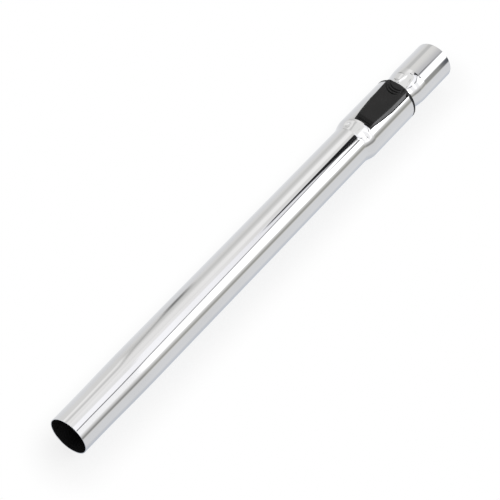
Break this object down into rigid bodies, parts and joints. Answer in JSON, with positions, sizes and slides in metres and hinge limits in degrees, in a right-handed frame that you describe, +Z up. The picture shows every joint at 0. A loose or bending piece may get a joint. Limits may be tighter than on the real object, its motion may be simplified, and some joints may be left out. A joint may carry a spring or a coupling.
{
  "type": "telescopic vacuum wand",
  "caption": "Chromed telescopic suction wand: tapered tool end, swaged housing with a rocker release button, and a keyed inner tube that slides out to a hose socket.",
  "frame": {"origin": "middle of the tool mouth, on the wand's axis", "axes": "+X along the axis from the tool mouth to the hose end, +Z up through the release button, +Y across the wand"},
  "size_m": [0.504, 0.0416, 0.0438],
  "materials": {
    "chrome_outer": "bright plated",
    "chrome_inner": "bright plated",
    "black_gloss": "gloss moulded",
    "black_satin": "satin moulded",
    "white_plastic": "natural moulded",
    "steel": "bright drawn",
    "felt": "pressed felt"
  },
  "bodies": {
    "outer": {"outer_tube": "chrome_outer", "guide_sleeve": "black_gloss", "wiper_seal": "felt", "pivot_pin": "steel", "return_spring": "steel"},
    "button": {"release_button": "black_satin", "lock_tooth": "steel"},
    "inner": {"inner_tube": "chrome_inner", "foot_bush": "white_plastic"}
  },
  "joints": [
    {"name": "inner_slide", "type": "slide", "parent": "outer", "child": "inner", "axis": [1, 0, 0], "range_m": [0, 0.276]},
    {"name": "button_press", "type": "hinge", "parent": "outer", "child": "button", "pos_m": [0.416, 0, 0.0183], "axis": [0, 1, 0], "range_deg": [0, 6], "stiffness_Nm_per_rad": 1, "springref_deg": -3.44, "deforming": ["return_spring"]}
  ]
}
